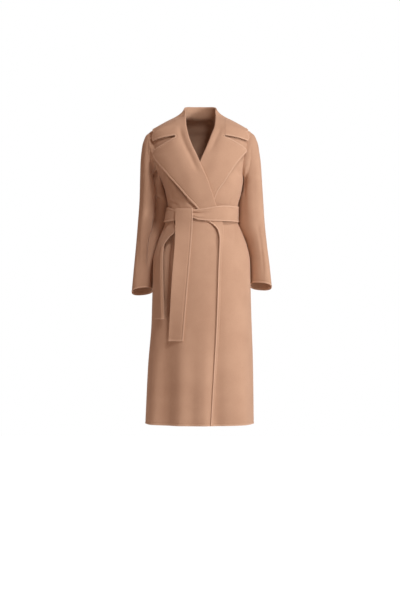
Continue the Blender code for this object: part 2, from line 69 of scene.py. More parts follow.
TORSO = table(
    "ring height centre_x half_width front_depth back_depth squareness",
    ("hem", -1.200, -0.002, 0.2100, 0.166, 0.174, 2.20),
    ("calf", -0.970, 0.002, 0.2030, 0.156, 0.164, 2.20),
    ("knee", -0.800, 0.006, 0.1935, 0.149, 0.157, 2.20),
    ("thigh", -0.660, 0.006, 0.1895, 0.144, 0.152, 2.20),
    ("hip", -0.560, 0.006, 0.1870, 0.138, 0.147, 2.20),
    ("seat", -0.500, 0.007, 0.1740, 0.129, 0.138, 2.20),
    ("below_belt", -0.445, 0.007, 0.1530, 0.118, 0.122, 2.20),
    ("belt_low", -0.412, 0.006, 0.1400, 0.1115, 0.110, 2.25),
    ("waist", -0.381, 0.0090, 0.1365, 0.1100, 0.107, 2.30),
    ("belt_high", -0.350, 0.0120, 0.1340, 0.1115, 0.110, 2.30),
    ("blouse", -0.300, 0.0135, 0.1445, 0.121, 0.124, 2.35),
    ("ribs", -0.254, 0.0100, 0.1560, 0.125, 0.132, 2.40),
    ("armpit", -0.220, 0.003, 0.1640, 0.126, 0.135, 2.45),
    ("chest", -0.160, 0.001, 0.1860, 0.121, 0.132, 2.50),
    ("upper_chest", -0.100, 0.001, 0.1985, 0.108, 0.120, 2.50),
    ("shoulder_point", -0.064, 0.001, 0.1975, 0.094, 0.106, 2.50),
    ("shoulder_outer", -0.050, 0.001, 0.1690, 0.086, 0.098, 2.50),
    ("shoulder_middle", -0.0255, 0.001, 0.1170, 0.070, 0.084, 2.45),
    ("shoulder_inner", -0.013, 0.001, 0.0915, 0.060, 0.074, 2.35),
    ("neckline", -0.002, 0.001, 0.0710, 0.050, 0.064, 2.20),
    ("stand_low", 0.010, 0.001, 0.0640, 0.046, 0.060, 2.10),
    ("stand_middle", 0.026, 0.001, 0.0600, 0.044, 0.058, 2.10),
    ("stand_top", 0.050, 0.001, 0.0590, 0.044, 0.058, 2.10),
)

# Soft vertical folds of the skirt, deepest at the hem: below zero a valley, above zero a ridge.
SKIRT_FOLDS = table(
    "fold turn top half_angle depth",
    ("right_side_ridge", -58.0, -0.66, 9.0, 0.0080),
    ("right_front_valley", -35.5, -0.58, 12.5, -0.0240),
    ("front_valley", -7.0, -0.68, 10.0, -0.0110),
    ("front_ridge", 3.0, -0.76, 7.0, 0.0050),
    ("left_front_valley", 15.0, -0.64, 9.0, -0.0150),
    ("left_front_ridge", 46.0, -0.62, 15.0, 0.0130),
    ("left_back_valley", 122.0, -0.66, 10.0, -0.0120),
    ("left_back_ridge", 148.0, -0.72, 12.0, 0.0080),
    ("back_valley", 172.0, -0.60, 9.0, -0.0120),
    ("right_back_ridge", 200.0, -0.66, 12.0, 0.0080),
    ("right_back_valley", 232.0, -0.70, 10.0, -0.0110),
)

# Creases: soft troughs and ridges from one place on the form to another, with their half width and depth.
CREASES = table(
    "crease turn_a height_a turn_b height_b half_width depth",
    ("right_blouse_1", -62.0, -0.322, -40.0, -0.350, 0.007, -0.0035),
    ("right_blouse_2", -74.0, -0.300, -55.0, -0.342, 0.008, -0.0030),
    ("right_blouse_3", -50.0, -0.300, -28.0, -0.346, 0.010, -0.0020),
    ("left_blouse_1", 58.0, -0.318, 44.0, -0.348, 0.008, -0.0025),
    ("left_blouse_2", 80.0, -0.290, 66.0, -0.345, 0.008, -0.0030),
    ("right_hip_drag", -62.0, -0.425, -56.0, -0.560, 0.010, -0.0030),
    ("right_knot_drop", -44.0, -0.430, -36.0, -0.840, 0.012, -0.0200),
    ("right_thigh_fold", -52.0, -0.680, -33.0, -0.790, 0.014, -0.0040),
    ("left_hip_drag", 58.0, -0.425, 40.0, -0.520, 0.010, -0.0022),
    ("left_drape", 52.0, -0.610, 28.0, -0.660, 0.012, -0.0018),
    ("back_blouse_1", 150.0, -0.300, 138.0, -0.345, 0.010, -0.0035),
    ("back_blouse_2", 176.0, -0.285, 170.0, -0.345, 0.012, -0.0030),
    ("back_blouse_3", 212.0, -0.305, 222.0, -0.346, 0.009, -0.0035),
    ("back_drag_1", 160.0, -0.420, 166.0, -0.560, 0.010, -0.0030),
    ("back_drag_2", 205.0, -0.420, 198.0, -0.530, 0.010, -0.0028),
    ("left_armpit_front", 66.0, -0.235, 48.0, -0.200, 0.008, -0.0025),
    ("right_armpit_front", -66.0, -0.235, -50.0, -0.205, 0.008, -0.0028),
    ("under_right_lapel", -56.0, -0.194, -13.0, -0.352, 0.0080, -0.0140),
    ("left_armpit_back", 116.0, -0.238, 134.0, -0.190, 0.009, -0.0030),
    ("right_armpit_back", 244.0, -0.238, 228.0, -0.195, 0.009, -0.0030),
)
UNROLLED = 0.0026       # metres along the form for one degree of turn
CREASE_FADE = (-0.15, 0.35)     # shares of a crease's length between which each of its ends runs out


def smooth(rows, name, places, along="height"):
    """A column read at any place along another: cubic Hermite pieces whose slopes are the harmonic means
    of their neighbours, so that the curve never overshoots its rows."""
    place = rows[along].astype(float)
    value = rows[name].astype(float)
    span = np.diff(place)
    rise = np.diff(value) / span
    inner = rise[:-1] * rise[1:]
    mean = np.where(inner > 0.0, 2.0 * inner / np.where(inner > 0.0, rise[:-1] + rise[1:], 1.0), 0.0)
    slope = np.concatenate((rise[:1], mean, rise[-1:]))
    at = np.clip(places, place[0], place[-1])
    piece = np.clip(np.searchsorted(place, at, side="right") - 1, 0, len(span) - 1)
    step = (at - place[piece]) / span[piece]
    start = (2.0 * step**3 - 3.0 * step**2 + 1.0) * value[piece]
    end = (3.0 * step**2 - 2.0 * step**3) * value[piece + 1]
    start_slope = (step**3 - 2.0 * step**2 + step) * span[piece] * slope[piece]
    end_slope = (step**3 - step**2) * span[piece] * slope[piece + 1]
    return start + end + start_slope + end_slope


def ease(value, low, high):
    """0 below low, 1 above high, and the smooth step 3s^2 - 2s^3 between."""
    step = np.clip((value - low) / (high - low), 0.0, 1.0)
    return step * step * (3.0 - 2.0 * step)


def fold_lift(height, turn):
    """Sum over the skirt's folds of depth times a bell across the fold times an ease down to the hem."""
    total = np.zeros(np.broadcast(height, turn).shape)
    for fold in each_row(SKIRT_FOLDS):
        away = (turn - fold["turn"] + 180.0) % 360.0 - 180.0
        across = np.exp(-(away / fold["half_angle"]) ** 2)
        total = total + fold["depth"] * across * ease(-height, -fold["top"], -HEM)
    return total


def line_bell(across, up, run, half_width, fade):
    """A bell of the distance to a straight line from (0, 0) over its run, times an ease at each end from
    the first to the second of the fade's shares of its length."""
    length = np.hypot(*run)
    along = (across * run[0] + up * run[1]) / length**2
    aside = (across * run[1] - up * run[0]) / length
    ends = ease(along, *fade) * (1.0 - ease(along, 1.0 - fade[1], 1.0 - fade[0]))
    return ends * np.exp(-(aside / half_width) ** 2)


def crease_lift(height, turn):
    """Sum over the creases of depth times the bell along the crease's line on the unrolled form."""
    total = np.zeros(np.broadcast(height, turn).shape)
    for crease in each_row(CREASES):
        across = ((turn - crease["turn_a"] + 180.0) % 360.0 - 180.0) * UNROLLED
        up = height - crease["height_a"]
        run = ((crease["turn_b"] - crease["turn_a"]) * UNROLLED, crease["height_b"] - crease["height_a"])
        total = total + crease["depth"] * line_bell(across, up, run, crease["half_width"], CREASE_FADE)
    return total


def torso_depth(height, front):
    """The form's depth at a height, before its middle where front is true and behind it elsewhere."""
    return np.where(front, smooth(TORSO, "front_depth", height), smooth(TORSO, "back_depth", height))


def torso_level(x, y, height):
    """The form's superellipse sum |x/a|^n + |y/d|^n at a height: 1 on its surface and more outside it."""
    power = smooth(TORSO, "squareness", height)
    across = np.abs(x - smooth(TORSO, "centre_x", height)) / smooth(TORSO, "half_width", height)
    deep = np.abs(y) / torso_depth(height, y < 0.0)
    return across**power + deep**power


def torso_point(height, turn, lift=0.0, loose=1.0):
    """A point of the form at a height and turn, moved out along the level's gradient by the lift, the
    skirt's folds and the creases. Turn is 0 at the front, 90 at the wearer's left side and 180 behind,
    x = centre + a * sin(turn)^(2/n) and y = -d * cos(turn)^(2/n). Loose scales the creases."""
    height, turn, lift = np.broadcast_arrays(height, turn, lift)
    sine = np.sin(np.radians(turn))
    cosine = np.cos(np.radians(turn))
    power = 2.0 / smooth(TORSO, "squareness", height)
    reach = smooth(TORSO, "half_width", height) * np.abs(sine) ** power
    x = smooth(TORSO, "centre_x", height) + np.sign(sine) * reach
    y = -np.sign(cosine) * torso_depth(height, cosine > 0.0) * np.abs(cosine) ** power
    step = 0.0005
    normal = np.stack((
        torso_level(x + step, y, height) - torso_level(x - step, y, height),
        torso_level(x, y + step, height) - torso_level(x, y - step, height),
        torso_level(x, y, height + step) - torso_level(x, y, height - step)), axis=-1)
    normal /= np.linalg.norm(normal, axis=-1, keepdims=True)
    out = lift + fold_lift(height, turn) + loose * crease_lift(height, turn)
    return np.stack((x, y, height), axis=-1) + normal * out[..., None]


def turn_at_x(height, x):
    """The turn on the form's front at x, from x = centre + a * sin(turn)^(2/n)."""
    power = smooth(TORSO, "squareness", height) / 2.0
    share = (x - smooth(TORSO, "centre_x", height)) / smooth(TORSO, "half_width", height)
    share = np.clip(share, -1.0, 1.0)
    return np.degrees(np.arcsin(np.sign(share) * np.abs(share) ** power))


def turn_at_depth(height, away, front):
    """The turn on the form's left side at a distance before or behind the very side, from
    |y| = d * cos(turn)^(2/n)."""
    power = smooth(TORSO, "squareness", height) / 2.0
    turn = np.degrees(np.arccos((away / torso_depth(height, front)) ** power))
    return np.where(front, turn, 180.0 - turn)


def side_turn(height, front):
    """The turn of a panel's side boundary: the armhole is half an ellipse in depth against height, and
    above and below it the boundary is the seam at the very side."""
    round_hole = np.sqrt(np.clip(1.0 - ((height - ARMHOLE_MIDDLE) / ARMHOLE_HALF) ** 2, 0.0, 1.0))
    return turn_at_depth(height, np.maximum(ARMHOLE_DEPTH * round_hole, SEAM / 2.0), front)


def body_rows():
    """Heights of the panels' rows: close at the hem's edge, even up the body, by angle round the armhole
    and even again along the shoulder."""
    hem = HEM + np.array((0.0, 0.0012, 0.0025, 0.004, 0.0055, 0.007, 0.0085, 0.010, 0.0115, 0.0135))
    body = np.linspace(HEM + 0.017, ARMPIT - 0.005, 190)
    armhole = ARMHOLE_MIDDLE - ARMHOLE_HALF * np.cos(np.linspace(0.0, np.pi, 44))
    shoulder = np.linspace(SHOULDER, NECKLINE, 18)[1:]
    return np.concatenate((hem, body, armhole, shoulder))[:, None]


BEAD_WIDTH = 0.0060     # the turned edge of double-faced cloth: a soft bead, then the stitched groove
BEAD_RISE = 0.0007
GROOVE_DEPTH = 0.0007
GROOVE_HALF = 0.0018
LINE_STEP = 0.0015      # how far apart the places of an edge are when distances to it are read


def bead_lift(distance):
    """The turned edge's relief: half a sine wave across the bead, less a bell for the stitched groove."""
    across = np.clip(distance / BEAD_WIDTH, 0.0, 1.0)
    groove = np.exp(-((distance - BEAD_WIDTH - GROOVE_HALF) / GROOVE_HALF) ** 2)
    return BEAD_RISE * np.sin(np.pi * across) - GROOVE_DEPTH * groove


def distance_to(line, points):
    """Each point's distance to the nearest place of a line, which is read every LINE_STEP."""
    steps = np.linalg.norm(np.diff(line, axis=0), axis=1)
    length = np.concatenate(([0.0], np.cumsum(steps)))
    at = np.linspace(0.0, length[-1], max(int(length[-1] / LINE_STEP), 2))
    dense = np.stack([np.interp(at, length, line[:, axis]) for axis in range(3)], axis=-1)
    flat = points.reshape(-1, 3)
    nearest = []
    for part in np.array_split(flat, max(len(flat) // 2000, 1)):
        gap = part[:, None, :] - dense[None, :, :]
        nearest.append(np.sqrt((gap**2).sum(-1).min(1)))
    return np.concatenate(nearest).reshape(points.shape[:-1])


def make_wool(name, colour, deep, edge_highlight):
    """Camel wool: colour drifts a little over a hand's breadth and from fibre to fibre, and a painted
    highlight lightens it on the beads along the edges; a soft sheen lies over it, and a brushed nap of
    long fibres and fine fuzz is raised in the bump."""
    material = bpy.data.materials.new(name)
    material.use_nodes = True
    nodes = material.node_tree.nodes
    links = material.node_tree.links
    surface = nodes["Principled BSDF"]
    surface.inputs["Roughness"].default_value = 0.88
    surface.inputs["Specular IOR Level"].default_value = 0.25
    surface.inputs["Sheen Weight"].default_value = 0.22
    surface.inputs["Sheen Roughness"].default_value = 0.55
    surface.inputs["Sheen Tint"].default_value = (1.0, 0.86, 0.74, 1.0)
    place = nodes.new("ShaderNodeTexCoord")

    def noise(scale, detail, stretch=(1.0, 1.0, 1.0)):
        turn = nodes.new("ShaderNodeMapping")
        turn.inputs["Scale"].default_value = stretch
        links.new(place.outputs["Object"], turn.inputs["Vector"])
        texture = nodes.new("ShaderNodeTexNoise")
        texture.inputs["Scale"].default_value = scale
        texture.inputs["Detail"].default_value = detail
        links.new(turn.outputs["Vector"], texture.inputs["Vector"])
        return texture.outputs["Fac"]

    # The distance to the nearest free edge drives the painted edge highlight below.
    highlight_edge_distance = nodes.new("ShaderNodeAttribute")
    highlight_edge_distance.attribute_name = "edge_distance"
    drift = noise(9.0, 3.0)
    fibre = noise(700.0, 4.0, (1.0, 1.0, 0.35))
    fuzz = noise(2200.0, 2.0)
    tone = nodes.new("ShaderNodeMath")
    tone.operation = "MULTIPLY_ADD"
    links.new(fibre, tone.inputs[0])
    tone.inputs[1].default_value = 0.55
    links.new(drift, tone.inputs[2])
    ramp = nodes.new("ShaderNodeValToRGB")
    ramp.color_ramp.elements[0].position = 0.45
    ramp.color_ramp.elements[0].color = deep
    ramp.color_ramp.elements[1].position = 1.05
    ramp.color_ramp.elements[1].color = colour
    links.new(tone.outputs["Value"], ramp.inputs["Fac"])
    # Painted highlight: within 7.5 mm of a free edge the colour is mixed up to 35 percent towards the
    # lighter edge colour, standing in for light caught by the rounded edges.
    near_edge = nodes.new("ShaderNodeMapRange")
    near_edge.interpolation_type = "SMOOTHSTEP"
    near_edge.inputs["From Min"].default_value = 0.0075
    near_edge.inputs["From Max"].default_value = 0.0020
    near_edge.inputs["To Min"].default_value = 0.0
    near_edge.inputs["To Max"].default_value = 0.35
    links.new(highlight_edge_distance.outputs["Fac"], near_edge.inputs["Value"])
    painted_edge_highlight = nodes.new("ShaderNodeMix")
    painted_edge_highlight.data_type = "RGBA"
    painted_edge_highlight.inputs["B"].default_value = edge_highlight
    links.new(near_edge.outputs["Result"], painted_edge_highlight.inputs["Factor"])
    links.new(ramp.outputs["Color"], painted_edge_highlight.inputs["A"])
    links.new(painted_edge_highlight.outputs["Result"], surface.inputs["Base Color"])
    relief = nodes.new("ShaderNodeMath")
    relief.operation = "MULTIPLY_ADD"
    links.new(fuzz, relief.inputs[0])
    relief.inputs[1].default_value = 0.5
    links.new(fibre, relief.inputs[2])
    bump = nodes.new("ShaderNodeBump")
    bump.inputs["Strength"].default_value = 0.5
    bump.inputs["Distance"].default_value = 0.0006
    links.new(relief.outputs["Value"], bump.inputs["Height"])
    links.new(bump.outputs["Normal"], surface.inputs["Normal"])
    return material


# The third, lighter colour is the painted highlight for the beads along the edges.
WOOL = make_wool("camel_wool", colour=(0.575, 0.364, 0.250, 1.0), deep=(0.492, 0.300, 0.202, 1.0),
                 edge_highlight=(0.75, 0.53, 0.39, 1.0))
EDGE_ROUND = 0.42       # the radius of a rounded edge, as a share of the cloth's thickness


def cloth(name, nodes, grids, edges, thickness=CLOTH, closed=False):
    """A sheet through grids of points, rows by columns, joined where they share points. It is thickened
    to both sides and its edges are rounded. A closed grid's last column joins its first. The edges are
    each grid's distances to the sheet's free edge, kept on the points for the wool."""
    points = []
    faces = []
    start = 0
    for grid in grids:
        rows, columns = grid.shape[:2]
        index = start + np.arange(rows * columns).reshape(rows, columns)
        after = np.roll(index, -1, axis=1)
        last = columns if closed else columns - 1
        corners = (index[:-1, :last], after[:-1, :last], after[1:, :last], index[1:, :last])
        faces.append(np.stack(corners, axis=-1).reshape(-1, 4))
        points.append(grid.reshape(-1, 3))
        start += rows * columns
    mesh = bpy.data.meshes.new(name)
    mesh.from_pydata(np.concatenate(points).tolist(), [], np.concatenate(faces).tolist())
    distance = mesh.attributes.new("edge_distance", "FLOAT", "POINT")
    distance.data.foreach_set("value", np.concatenate([one.ravel() for one in edges]).astype(np.float32))
    shape = bmesh.new()
    shape.from_mesh(mesh)
    bmesh.ops.remove_doubles(shape, verts=shape.verts, dist=1e-6)
    bmesh.ops.recalc_face_normals(shape, faces=shape.faces)
    shape.to_mesh(mesh)
    shape.free()
    mesh.shade_smooth()
    mesh.materials.append(WOOL)
    piece = bpy.data.objects.new(name, mesh)
    bpy.context.scene.collection.objects.link(piece)
    wall = piece.modifiers.new("cloth", "SOLIDIFY")
    wall.thickness = thickness
    wall.offset = 0.0
    rounded = piece.modifiers.new("edges", "BEVEL")
    rounded.width = thickness * EDGE_ROUND
    rounded.segments = 2
    rounded.limit_method = "ANGLE"
    rounded.angle_limit = np.radians(55.0)
    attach(piece, "root")
    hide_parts(*nodes)
    return piece


rows = body_rows()
edge = side_turn(rows, front=False)
turn = edge + (360.0 - 2.0 * edge) * np.linspace(0.0, 1.0, 121)[None, :]
plain = torso_point(rows, turn)
from_hem = distance_to(plain[0], plain)
back = cloth("coat_back", ["back"], [torso_point(rows, turn, bead_lift(from_hem))], [from_hem])


# ======================================================================== fronts
# Each front is cut in one with its wide lapel, which is turned back at the roll line and shows the
# cloth's other face. The right front laps over the left; their edges are turned in and sewn by hand.

LAYER = 0.0030          # the least that a lapel lies over its front
LIFT_ENDS = (-0.140, -0.097)    # x between which a front's lift over what is under it comes in
BEAD_END = 0.05         # how far the left front's edge bead takes to run out, up to its lapel
LAPEL_BEAD = (-0.480, -0.440)   # heights between which a lapel's bead comes in, just under the belt
LAPEL_TOP = 0.022       # where a lapel ends beside the neck
GORGE_FOOT = -0.0765    # a lapel's edge is free below this row, and sewn to the collar above it
ROLL_WIDTH = 0.004      # a lapel has no bead this close to its roll line
RIGHT_EDGE = table(
    "height x lift roll_radius",
    (-1.200, 0.0490, 0.0042, 0.0016),
    (-0.960, 0.0625, 0.0042, 0.0016),
    (-0.826, 0.0695, 0.0042, 0.0016),
    (-0.617, 0.0755, 0.0046, 0.0016),
    (-0.522, 0.0795, 0.0052, 0.0016),
    (-0.484, 0.0827, 0.0048, 0.0016),
    (-0.454, 0.0846, 0.0066, 0.0016),
    (-0.416, 0.0800, 0.0070, 0.0016),
    (-0.3455, 0.0561, 0.0070, 0.0018),
    (-0.254, 0.0258, 0.0070, 0.0026),
    (-0.202, 0.0019, 0.0066, 0.0030),
    (-0.162, -0.0153, 0.0050, 0.0034),
    (-0.119, -0.0357, 0.0020, 0.0036),
    (-0.075, -0.0500, 0.0, 0.0036),
    (-0.0385, -0.0564, 0.0, 0.0030),
    (-0.002, -0.0574, 0.0, 0.0022),
    (0.022, -0.0565, 0.0, 0.0018),
)
LEFT_EDGE = table(
    "height x lift roll_radius",
    (-1.200, -0.0840, 0.0, 0.0015),
    (-0.600, -0.0800, 0.0, 0.0015),
    (-0.450, -0.0750, 0.0, 0.0015),
    (-0.370, -0.0620, 0.0, 0.0015),
    (-0.310, -0.0450, 0.0, 0.0015),
    (-0.250, -0.0220, 0.0, 0.0015),
    (-0.191, 0.0000, 0.0, 0.0015),
    (-0.162, 0.0122, 0.0, 0.0022),
    (-0.1257, 0.0295, 0.0, 0.0032),
    (-0.0825, 0.0462, 0.0, 0.0036),
    (-0.046, 0.0591, 0.0, 0.0030),
    (-0.002, 0.0620, 0.0, 0.0022),
    (0.022, 0.0600, 0.0, 0.0018),
)
RIGHT_LAPEL = table(
    "height edge_x edge_height edge_lift",
    (-1.195, 0.0405, -1.1950, 0.0085),
    (-0.960, 0.0540, -0.9600, 0.0090),
    (-0.800, 0.0615, -0.8000, 0.0100),
    (-0.690, 0.0645, -0.6900, 0.0115),
    (-0.600, 0.0670, -0.6000, 0.0120),
    (-0.520, 0.0700, -0.5200, 0.0145),
    (-0.484, 0.0708, -0.4850, 0.0175),
    (-0.454, 0.0640, -0.4500, 0.0170),
    (-0.440, 0.0520, -0.4320, 0.0150),
    (-0.416, 0.0304, -0.4117, 0.0110),
    (-0.381, 0.0040, -0.3800, 0.0102),
    (-0.3455, -0.0220, -0.3470, 0.0102),
    (-0.295, -0.0589, -0.3008, 0.0150),
    (-0.254, -0.1000, -0.2465, 0.0190),
    (-0.202, -0.1370, -0.1990, 0.0200),
    (-0.162, -0.1665, -0.1610, 0.0160),
    (-0.151, -0.1724, -0.1500, 0.0125),
    (-0.145, -0.1730, -0.1440, 0.0120),
    (-0.138, -0.1700, -0.1375, 0.0115),
    (-0.122, -0.1500, -0.1230, 0.0105),
    (-0.104, -0.1220, -0.1070, 0.0095),
    (-0.090, -0.1045, -0.0965, 0.0088),
    (-0.075, -0.0934, -0.0872, 0.0080),
    (-0.0385, -0.0936, -0.0510, 0.0080),
    (-0.002, -0.0936, -0.0250, 0.0086),
    (0.022, -0.0926, -0.0105, 0.0092),
)
LEFT_LAPEL = table(
    "height edge_x edge_height edge_lift",
    (-0.420, -0.0200, -0.4200, 0.0030),
    (-0.380, 0.0200, -0.3750, 0.0030),
    (-0.340, 0.0518, -0.3337, 0.0032),
    (-0.300, 0.0675, -0.2975, 0.0050),
    (-0.250, 0.0940, -0.2571, 0.0080),
    (-0.191, 0.1270, -0.1990, 0.0110),
    (-0.165, 0.1500, -0.1660, 0.0120),
    (-0.149, 0.1680, -0.1440, 0.0120),
    (-0.142, 0.1715, -0.1365, 0.0115),
    (-0.134, 0.1680, -0.1300, 0.0110),
    (-0.115, 0.1400, -0.1110, 0.0098),
    (-0.098, 0.1150, -0.0975, 0.0086),
    (-0.080, 0.0938, -0.0880, 0.0080),
    (-0.0385, 0.0940, -0.0510, 0.0084),
    (-0.002, 0.0940, -0.0250, 0.0088),
    (0.022, 0.0930, -0.0105, 0.0092),
)
# Hollows and rises of the lapels beside the roll line: how far from it, how wide, how deep, between which
# heights. Each lapel turns over in a soft roll with a hollow outside it and a low crown farther out.
ROLLS = table(
    "roll side away half_width depth low high",
    ("right_lapel_hollow", -1.0, 0.022, 0.011, -0.0050, -0.240, -0.030),
    ("right_lapel_crown", -1.0, 0.060, 0.028, 0.0030, -0.330, -0.060),
    ("left_lapel_hollow", 1.0, 0.020, 0.010, -0.0030, -0.170, -0.030),
    ("left_lapel_crown", 1.0, 0.055, 0.025, 0.0025, -0.300, -0.060),
)


def front_lift(edge, height, x):
    """The table's lift near the front's edge, eased to none towards its side."""
    return smooth(edge, "lift", height) * ease(x, *LIFT_ENDS)


def front_panel(edge, rows, side, plain_below):
    """A front from its roll line or front edge to its side boundary, on rows by turns that crowd towards
    the edge as s^1.6, with the beads of its hem and of its edge below the turned part."""
    roll_turn = turn_at_x(rows, smooth(edge, "x", rows))
    outer_turn = side * side_turn(rows, front=True)
    share = np.linspace(0.0, 1.0, 84)[None, :] ** 1.6
    turn = roll_turn + (outer_turn - roll_turn) * share
    plain = torso_point(rows, turn)
    lift = front_lift(edge, rows, plain[..., 0])
    from_border = distance_to(plain[0], plain)
    below = rows[:, 0] < plain_below
    if below.any():
        run_out = BEAD_END * ease(rows, plain_below - BEAD_END, plain_below)
        from_border = np.minimum(from_border, distance_to(plain[below, 0], plain) + run_out)
    return torso_point(rows, turn, lift + bead_lift(from_border)), from_border


def turned_lapel(edge, lapel, rows, side):
    """The roll line's turn of cloth, an arc of 165 degrees, then the lapel from there to its edge. Across
    a row the lift goes from the roll's to the edge's with the square of the share, never under the
    front's, plus a bell for each roll. The body's creases are left out, and the edge's bead runs out
    downwards from the belt."""
    radius = smooth(edge, "roll_radius", rows)
    roll_x = smooth(edge, "x", rows)
    roll_lift = front_lift(edge, rows, roll_x)
    angle = np.radians(np.linspace(0.0, 165.0, 9))[None, :]
    share = 1.0 - (1.0 - np.linspace(0.0, 1.0, 64)[None, :]) ** 1.35
    reach = smooth(lapel, "edge_x", rows) - roll_x
    flat_height = rows + (smooth(lapel, "edge_height", rows) - rows) * share
    flat_x = roll_x + reach * share
    flat_lift = roll_lift + 2.0 * radius
    flat_lift = flat_lift + (smooth(lapel, "edge_lift", rows) - flat_lift) * share**2
    flat_lift = np.maximum(flat_lift, front_lift(edge, flat_height, flat_x) + LAYER)
    height = np.concatenate((rows + 0.0 * angle, flat_height), axis=1)
    x = np.concatenate((roll_x - side * radius * np.sin(angle), flat_x), axis=1)
    lift = np.concatenate((roll_lift + radius * (1.0 - np.cos(angle)), flat_lift), axis=1)
    away = np.abs(x - roll_x)
    inside = ease(np.abs(reach) - away, 0.0, 0.02)
    for roll in each_row(ROLLS):
        if roll["side"] == side:
            window = ease(rows, roll["low"], roll["low"] + 0.06)
            window = window * (1.0 - ease(rows, roll["high"] - 0.05, roll["high"]))
            bell = np.exp(-((away - roll["away"]) / roll["half_width"]) ** 2)
            lift = lift + roll["depth"] * window * inside * bell
    turn = turn_at_x(height, x)
    plain = torso_point(height, turn, lift, 0.0)
    from_edge = distance_to(plain[rows[:, 0] < GORGE_FOOT, -1], plain)
    from_edge = np.where(away > ROLL_WIDTH, from_edge, 1.0)
    points = torso_point(height, turn, lift + bead_lift(from_edge) * ease(rows, *LAPEL_BEAD), 0.0)
    points[:, 0] = torso_point(height[:, 0], turn[:, 0], lift[:, 0])
    return points, from_edge


def make_front(name, node, edge, lapel, side):
    """A front and its lapel, joined at the roll line; the lapel goes on up beside the neck."""
    rows = body_rows()
    start = lapel["height"][0]
    above = rows[:, 0] > start
    panel, panel_edges = front_panel(edge, rows, side, start)
    beside_neck = np.linspace(NECKLINE, LAPEL_TOP, 12)[1:, None]
    turned, turned_edges = turned_lapel(edge, lapel, np.concatenate((rows[above], beside_neck)), side)
    turned[:above.sum(), 0] = panel[above, 0]
    return cloth(name, [node], [panel, turned], [panel_edges, turned_edges])


right_front = make_front("coat_right_front", "right_front", RIGHT_EDGE, RIGHT_LAPEL, -1.0)
left_front = make_front("coat_left_front", "left_front", LEFT_EDGE, LEFT_LAPEL, 1.0)


# ======================================================================== collar
# The collar is stand and fall in one piece, seamed to the neckline and to both lapels at the gorge. It
# rolls over at the crest of the stand and spreads wide over the shoulders to two blunt points.

COLLAR = table(
    "place inner_turn inner_height inner_lift middle_turn middle_height middle_lift "
    "edge_turn edge_height edge_lift",
    ("front_end", 0.0, -0.0845, 0.0080, 43.0, -0.0930, 0.0088, 60.0, -0.1020, 0.0080),
    ("gorge", 0.0, -0.0500, 0.0078, 46.0, -0.0680, 0.0092, 63.0, -0.0880, 0.0080),
    ("gorge_upper", 0.0, -0.0320, 0.0078, 54.0, -0.0520, 0.0098, 60.0, -0.0700, 0.0072),
    ("gorge_top", 0.0, -0.0145, 0.0078, 68.0, -0.0360, 0.0105, 70.0, -0.0570, 0.0065),
    ("neck_front", 62.0, 0.0020, 0.0064, 80.0, -0.0220, 0.0115, 88.0, -0.0505, 0.0055),
    ("neck_side", 76.0, 0.0220, 0.0040, 88.0, -0.0120, 0.0120, 100.0, -0.0500, 0.0050),
    ("behind_neck", 100.0, 0.0350, 0.0030, 106.0, -0.0100, 0.0130, 114.0, -0.0500, 0.0050),
    ("back_quarter", 135.0, 0.0430, 0.0030, 138.0, -0.0080, 0.0120, 142.0, -0.0500, 0.0050),
    ("back_centre", 180.0, 0.0450, 0.0030, 180.0, -0.0060, 0.0110, 180.0, -0.0500, 0.0050),
)
GORGE_X = 0.0944        # where the gorge seam runs straight up, on the collar's first four rows
TUCK_DOWN = 0.006       # how far the inner line is tucked in under the lapel, just above the gorge
TUCK_IN = 0.0024
STAND_FOOT = 0.012      # the stand is there where the crest is higher than this
COLLAR["station"] = np.arange(9.0)
COLLAR["inner_turn"] = np.where(COLLAR["station"] < 3.5, turn_at_x(COLLAR["inner_height"], GORGE_X),
                                COLLAR["inner_turn"])
first_half = np.concatenate((np.linspace(0.0, 0.12, 8), np.linspace(0.15, 8.0, 92)))
stations = np.concatenate((first_half, first_half[-2::-1]))
mirror = np.where(np.arange(len(stations)) < len(first_half), 1.0, -1.0)


def collar_line(part, extra=0.0):
    """One of the collar's three long lines, both halves: the right one mirrors the left."""
    turn = smooth(COLLAR, part + "_turn", stations, "station")
    height = smooth(COLLAR, part + "_height", stations, "station")
    lift = smooth(COLLAR, part + "_lift", stations, "station")
    if part == "inner":
        turn = np.where(stations < 3.0, turn_at_x(height, GORGE_X), turn)
        tuck = ease(stations, 2.9, 3.4) * (1.0 - ease(stations, 4.0, 5.0))
        height = height - TUCK_DOWN * tuck
        lift = lift - TUCK_IN * tuck
    return torso_point(height, mirror * turn, lift + extra, 0.0)


inner = collar_line("inner")
middle = collar_line("middle")
outer = collar_line("edge")
PROUD = 0.01            # how far out the edge is read a second time, for the way its bead rises
outwards = (collar_line("edge", PROUD) - outer) / PROUD
# The fall is a parabola across: through the inner line, the middle line half way, and the edge.
share = (1.0 - (1.0 - np.linspace(0.0, 1.0, 44)) ** 1.35)[None, :, None]
fall = (1.0 - share) * (1.0 - 2.0 * share) * inner[:, None]
fall = fall + 4.0 * share * (1.0 - share) * middle[:, None] + share * (2.0 * share - 1.0) * outer[:, None]
from_free = distance_to(np.concatenate((fall[0, :-1], fall[:, -1], fall[-1, -2::-1])), fall)
fall = fall + bead_lift(from_free)[..., None] * outwards[:, None, :]
# The stand goes straight up the neck from the neckline to where the fall turns over.
crest = smooth(COLLAR, "inner_height", stations, "station")
stand_rows = crest > STAND_FOOT
crest = crest[stand_rows][:, None]
turn = (mirror * smooth(COLLAR, "inner_turn", stations, "station"))[stand_rows][:, None]
low = NECKLINE + 2.0 * SEAM
stand = torso_point(low + (crest - low) * np.linspace(0.0, 0.94, 14)[None, :], turn, 0.0, 0.0)
stand = np.concatenate((stand, fall[stand_rows, :1]), axis=1)
collar = cloth("coat_collar", ["collar"], [fall, stand], [from_free, np.full(stand.shape[:2], 1.0)])


# ======================================================================== sleeves
# Each sleeve is one piece set into the armhole, wide at the head and slightly flared to a plain open
# cuff whose edge is turned in like the hem.

